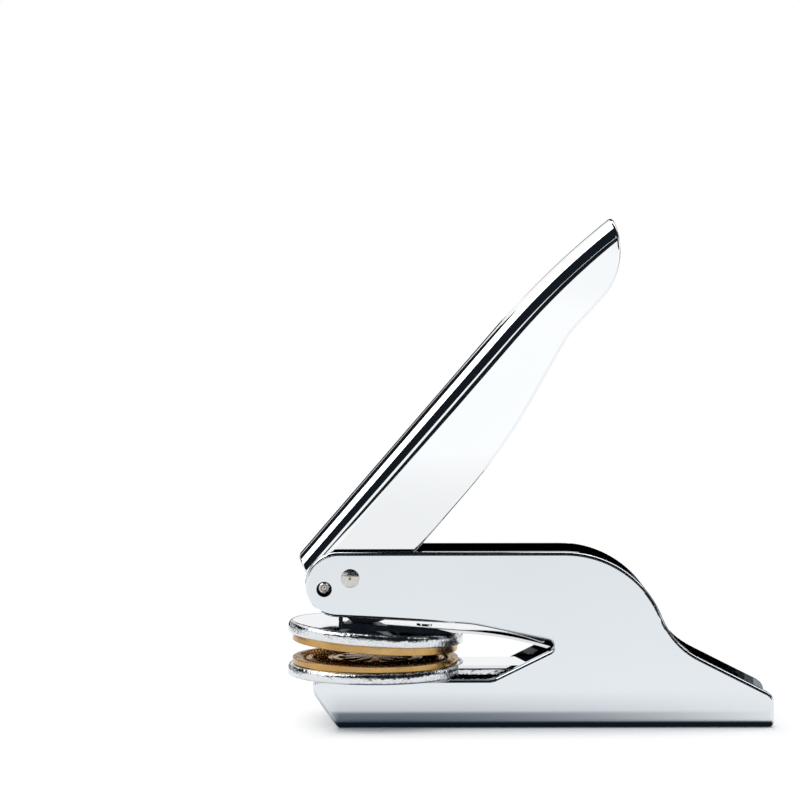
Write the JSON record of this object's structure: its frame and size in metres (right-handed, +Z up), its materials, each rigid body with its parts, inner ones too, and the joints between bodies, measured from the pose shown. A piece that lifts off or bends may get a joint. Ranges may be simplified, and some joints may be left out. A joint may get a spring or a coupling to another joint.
{
  "type": "seal embosser",
  "caption": "Lever-operated desk seal embosser with a folded chrome frame and lever, a spring clip jaw and a pair of round brass dies.",
  "frame": {"origin": "on the underside of the frame, half way along it and on the mid-plane", "axes": "+X from the nose with the dies to the tail, +Z up, Y across the machine"},
  "size_m": [0.1196, 0.0436, 0.1247],
  "materials": {
    "chrome_steel": "polished",
    "chrome_casting": "gloss",
    "spring_steel": "polished",
    "pin_steel": "satin",
    "cam_steel": "satin",
    "brass": "satin"
  },
  "bodies": {
    "stand": {"frame": "chrome_steel", "main_axle": "pin_steel", "lever_spacers": "pin_steel", "lower_die_plate": "chrome_casting", "lower_die": "brass", "lower_die_dowels": "pin_steel", "clip_root": "spring_steel", "bar_rivets": "spring_steel"},
    "lever_arm": {"lever": "chrome_steel", "press_cam": "cam_steel", "cam_pin": "pin_steel", "cam_pin_bushes": "pin_steel", "axle_sleeves": "pin_steel"},
    "upper_jaw": {"clip_leaf": "spring_steel", "upper_die_plate": "chrome_casting", "upper_die": "brass", "upper_die_dowels": "pin_steel", "leaf_rivet_flush": "spring_steel", "leaf_rivet_headed": "spring_steel"}
  },
  "joints": [
    {"name": "lever_press", "type": "hinge", "parent": "stand", "child": "lever_arm", "pos_m": [-0.0465, 0, 0.037], "axis": [0, 1, 0], "range_deg": [0, 40], "stiffness_Nm_per_rad": 0.034, "springref_deg": -92.82},
    {"name": "jaw_close", "type": "hinge", "parent": "stand", "child": "upper_jaw", "pos_m": [0.0036, 0, 0.01906], "axis": [0, -1, 0], "range_deg": [0, 3.7], "stiffness_Nm_per_rad": 0.2, "springref_deg": -8.59}
  ],
  "couplings": [
    {"joint": "jaw_close", "follows": "lever_press", "ratio": 0.0925}
  ]
}
